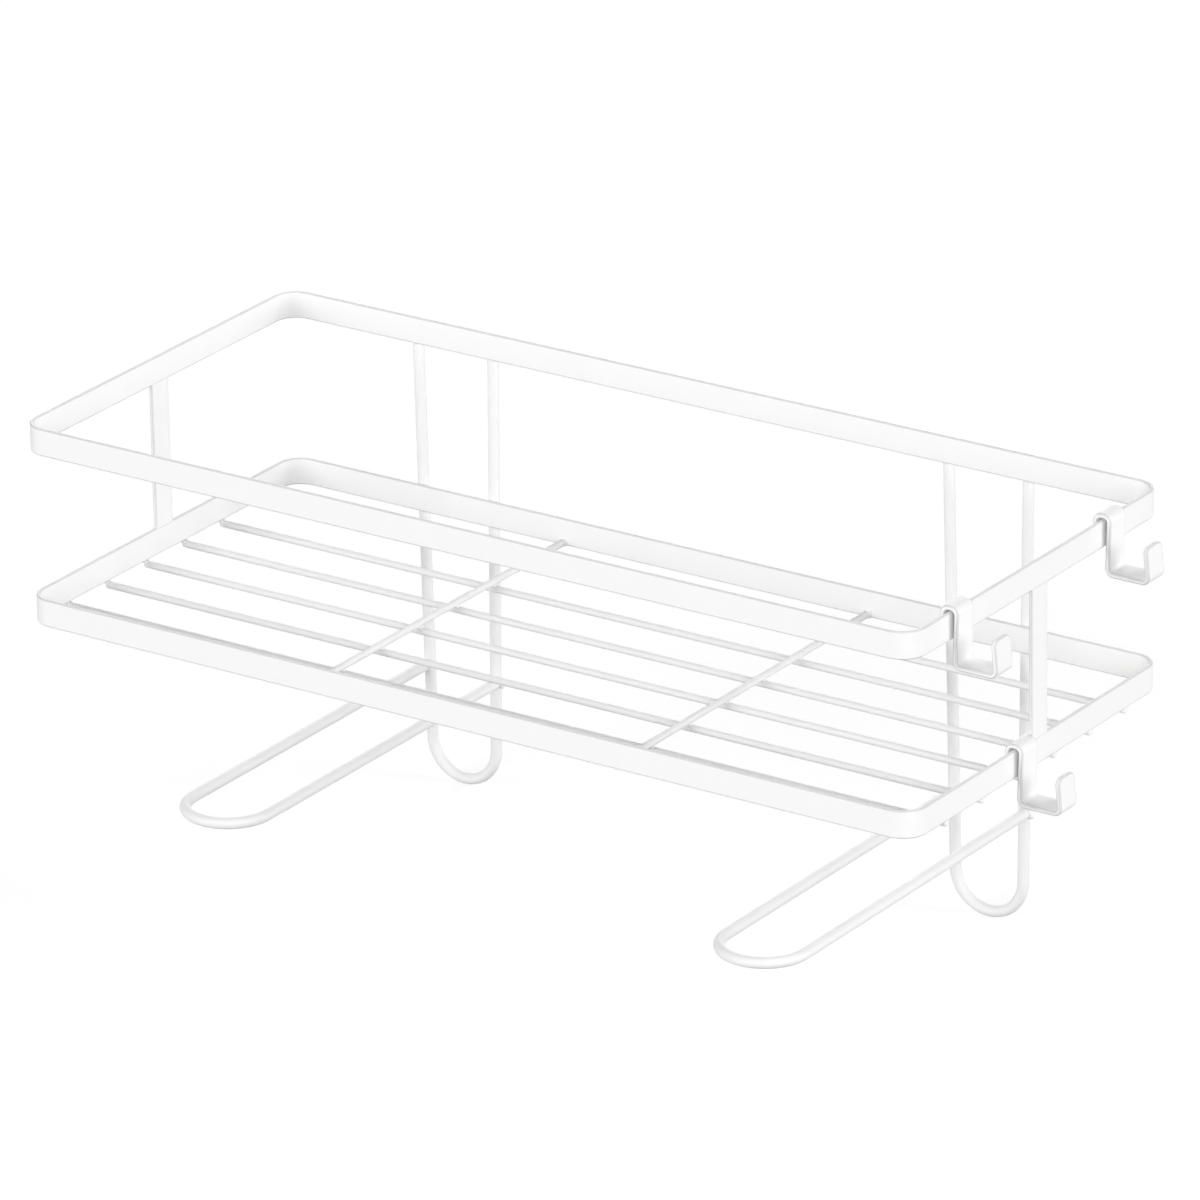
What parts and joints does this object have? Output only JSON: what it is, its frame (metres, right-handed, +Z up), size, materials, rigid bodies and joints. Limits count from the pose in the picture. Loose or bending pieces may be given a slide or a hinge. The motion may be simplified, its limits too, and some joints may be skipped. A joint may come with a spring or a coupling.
{
  "type": "over-the-toilet rack",
  "caption": "Welded strip and wire basket that stands on a toilet tank lid on long foot loops, with hairpin legs that hang behind the tank and loose J hooks on one end.",
  "frame": {"origin": "on the tank lid plane, under the middle of the basket's length and depth", "axes": "+X along the basket towards the end with the hooks, +Y from the front to the back of the tank, +Z up"},
  "size_m": [0.4197, 0.1795, 0.1968],
  "materials": {
    "white_coat": "satin white powder coat"
  },
  "bodies": {
    "rack_frame": {"upper_rail": "white_coat", "lower_frame": "white_coat", "left_upright": "white_coat", "right_upright": "white_coat", "shelf_wire_1": "white_coat", "shelf_wire_2": "white_coat", "shelf_wire_3": "white_coat", "shelf_wire_4": "white_coat", "shelf_wire_5": "white_coat", "shelf_wire_6": "white_coat", "left_cross_wire": "white_coat", "right_cross_wire": "white_coat", "left_hairpin": "white_coat", "right_hairpin": "white_coat", "left_foot_loop": "white_coat", "right_foot_loop": "white_coat"},
    "rear_hook": {"rear_hook": "white_coat"},
    "front_hook": {"front_hook": "white_coat"},
    "lower_hook": {"lower_hook": "white_coat"}
  },
  "joints": [
    {"name": "rear_hook_slide", "type": "slide", "parent": "rack_frame", "child": "rear_hook", "axis": [0, 1, 0], "range_m": [-0.044, 0.0215]},
    {"name": "front_hook_slide", "type": "slide", "parent": "rack_frame", "child": "front_hook", "axis": [0, 1, 0], "range_m": [-0.016, 0.0495]},
    {"name": "lower_hook_slide", "type": "slide", "parent": "rack_frame", "child": "lower_hook", "axis": [0, 1, 0], "range_m": [-0.06, 0]}
  ]
}
